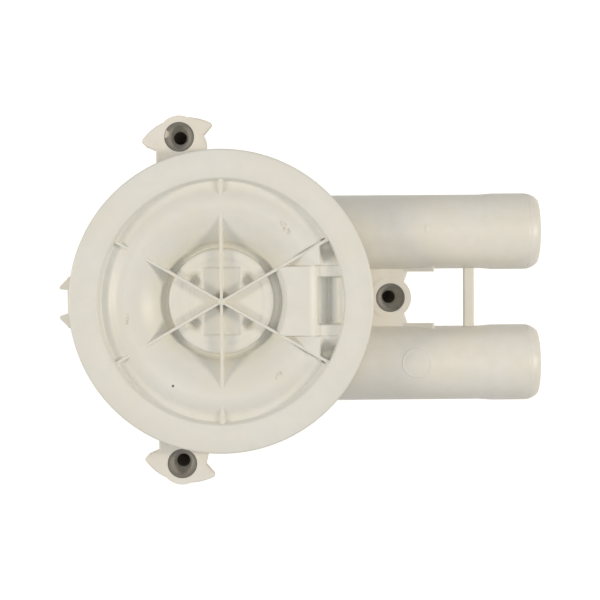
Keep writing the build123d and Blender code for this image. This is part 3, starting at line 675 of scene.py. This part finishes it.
# ---- Shaft, socket and steel rings ----
# Ground stainless shaft, the pressed cup of the seal, a sintered double-D socket, and thin rings
# and a coil of rolled spring steel. Metals keep their plain reflection; grinding and rolling leave
# fine lines of 0.01 mm and less, drawn as a grain of 0.4 mm so that it shows.
metal = {"Metallic": 1.0}
stainless = {
    "tones": ("#b4b5b4", "#c6c6c3"),
    "patch": 9.0,
    "grain": 0.4,
    "relief": 0.004,
    "rough": (0.22, 0.34),
    "settings": metal,
}
spring_steel = {
    "tones": ("#8e8f92", "#a3a4a6"),
    "patch": 4.0,
    "grain": 0.4,
    "relief": 0.006,
    "rough": (0.3, 0.42),
    "settings": metal,
}
socket_steel = {
    "tones": ("#6d6d6f", "#807f7e"),
    "patch": 2.0,
    "grain": 0.35,  # pressed powder of about 0.1 mm, drawn coarser
    "relief": 0.03,
    "rough": (0.5, 0.68),
    "settings": metal,
}
steel_rings = ["bearing_retainer", "seal_spring", "thrust_washer", "retaining_ring"]
paint(["drive_shaft", "seal_drive_cup"], two_tone_finish("ground_stainless_steel", **stainless))
paint(steel_rings, two_tone_finish("rolled_spring_steel", **spring_steel))
paint(["drive_insert"], two_tone_finish("sintered_steel", **socket_steel))


# ---- Bearings and felt ----
# Two porous bronze bushes, pressed from powder and soaked in oil, so brown and softly shiny, with
# a wool felt ring between them that feeds the oil: matt and fuzzy, dark with oil.
bronze = {
    "tones": ("#a87b45", "#8d6537"),
    "patch": 1.5,
    "grain": 0.3,  # powder grains of about 0.1 mm, drawn coarser
    "relief": 0.02,
    "rough": (0.3, 0.5),
    "settings": metal,
}
felt = {
    "tones": ("#a3946f", "#8b7b58"),
    "patch": 3.0,
    "grain": 0.4,  # wool hairs of about 0.03 mm, drawn coarser
    "relief": 0.25,
    "rough": (0.85, 0.98),
    "settings": {"Sheen Weight": 0.3, "Sheen Roughness": 0.5},
}
paint(["seal_side_bearing", "motor_side_bearing"], two_tone_finish("oiled_sintered_bronze", **bronze))
paint(["oil_felt"], two_tone_finish("oiled_wool_felt", **felt))


# ---- Shaft seal and slinger ----
# A lapped ceramic seat in its rubber cup stands still; a carbon ring, pressed on it by the spring
# and driven through the bellows, turns. The slinger below throws drips off the shaft. Lapping
# leaves ceramic and carbon smooth and dimly shiny; moulded nitrile rubber is black and matt.
nitrile = {
    "tones": ("#1b1b1c", "#262627"),
    "patch": 5.0,
    "grain": 0.4,  # here and below, a real grain of 0.05 mm or less, drawn coarser
    "relief": 0.015,
    "rough": (0.5, 0.7),
    "settings": {"IOR": rubber_ior},
}
alumina = {
    "tones": ("#eceae3", "#e4e1d8"),
    "patch": 6.0,
    "grain": 0.3,
    "relief": 0.003,
    "rough": (0.16, 0.26),
    "settings": {"IOR": 1.76},
}
carbon = {
    "tones": ("#232425", "#2f3031"),
    "patch": 3.0,
    "grain": 0.3,
    "relief": 0.006,
    "rough": (0.28, 0.42),
    "settings": {"IOR": 1.8},
}
paint(["seal_seat_cup", "seal_bellows", "water_slinger"], two_tone_finish("nitrile_rubber", **nitrile))
paint(["seal_seat"], two_tone_finish("lapped_alumina", **alumina))
paint(["seal_carbon_ring"], two_tone_finish("lapped_carbon", **carbon))


# ---- Bench and backdrop ----
# A plain pale bench under the isolators' noses, in a white room. Both look white, and light the
# pump only dimly; the bench keeps its shadow.
bench_half = 3000.0
bench_tone = "#aca697"
bench_glow = 0.86
room_tone = "#ffffff"
fill_tone = "#e3edfa"
room_fill = 0.5


def seen_white(tree, plain, white):
    """The white shader where the camera or a reflection looks, the plain one for all other light."""
    rays = add(tree, "LightPath")
    seen = rays["Is Camera Ray"]
    for kind in ("Is Glossy Ray", "Is Transmission Ray"):
        seen = add(tree, "Math", {"operation": "MAXIMUM"}, {0: seen, 1: rays[kind]})[0]
    return add(tree, "MixShader", None, {0: seen, 1: plain, 2: white})[0]


bench_material, tree, where = new_material("pale_bench")
matt = add(tree, "BsdfDiffuse", {"Color": linear(bench_tone)})[0]
glow = add(tree, "Emission", {"Color": linear(room_tone), "Strength": bench_glow})[0]
lit = add(tree, "AddShader", None, {0: matt, 1: glow})[0]
add(tree, "OutputMaterial", None, {"Surface": seen_white(tree, matt, lit)})
floor_mm = cad_box[0].z / MM
corners = np.array([[-1, -1], [1, -1], [-1, 1], [1, 1]]) * bench_half
bench_points = np.column_stack([corners, np.full(4, floor_mm)]).reshape(2, 2, 3)
bench = shell("bench", bench_points[:, ::-1], bench_material, closed=False)

world = bpy.data.worlds.new("white_room")
bpy.context.scene.world = world
world.use_nodes = True
tree = world.node_tree
tree.nodes.clear()
fill = add(tree, "Background", {"Color": linear(fill_tone), "Strength": room_fill})[0]
white = add(tree, "Background", {"Color": linear(room_tone), "Strength": 1.0})[0]
add(tree, "OutputWorld", None, {"Surface": seen_white(tree, fill, white)})


# ---- Lamps ----
# Two soft boxes, the right one stronger, whose light the ribs throw into soft wedges on both
# sides, and one broad soft box near the camera that fills the hollows.
lamp_tone = "#fff0da"
lit_point = (20, 0, 80)


def soft_box(name, place_mm, size_mm, watts):
    """A flat lamp of that width and height, which faces the middle of the pump."""
    light = bpy.data.lights.new(name, "AREA")
    light.shape = "RECTANGLE"
    light.size, light.size_y = size_mm[0] * MM, size_mm[1] * MM
    light.energy = watts
    light.color = linear(lamp_tone)[:3]
    lamp = bpy.data.objects.new(name, light)
    bpy.context.scene.collection.objects.link(lamp)
    lamp.location = Vector(place_mm) * MM
    away = lamp.location - Vector(lit_point) * MM
    lamp.rotation_euler = away.to_track_quat("Z", "Y").to_euler()


soft_box("box_right", (970, 40, 700), (130, 300), 5.2)
soft_box("box_left", (-930, 40, 700), (130, 300), 4.6)
soft_box("box_front", (30, 40, 1300), (420, 420), 1.7)


# ---- Camera ----
# Looks straight down on the cover from about two thirds of a metre, a little off its middle. The
# view's up runs along +Y but for a small roll.
eye_mm = (18.906, 27.785, face_mm + 650)
aim_mm = (32.511, 0.566, face_mm)
lens_mm = 94.514
sensor_mm = 36.0
roll_deg = 0.393
eye, aim = np.array(eye_mm) * MM, np.array(aim_mm) * MM
back = (eye - aim) / np.linalg.norm(eye - aim)
right = np.cross([math.sin(math.radians(roll_deg)), math.cos(math.radians(roll_deg)), 0], back)
right /= np.linalg.norm(right)
camera = bpy.data.objects.new("camera", bpy.data.cameras.new("camera"))
bpy.context.scene.collection.objects.link(camera)
camera.data.lens = lens_mm
camera.data.sensor_width = sensor_mm
camera.location = eye.tolist()
axes = np.stack([right, np.cross(back, right), back], axis=1)
camera.rotation_euler = Matrix(axes.tolist()).to_euler()
bpy.context.scene.camera = camera
bpy.context.scene.view_settings.view_transform = "Standard"
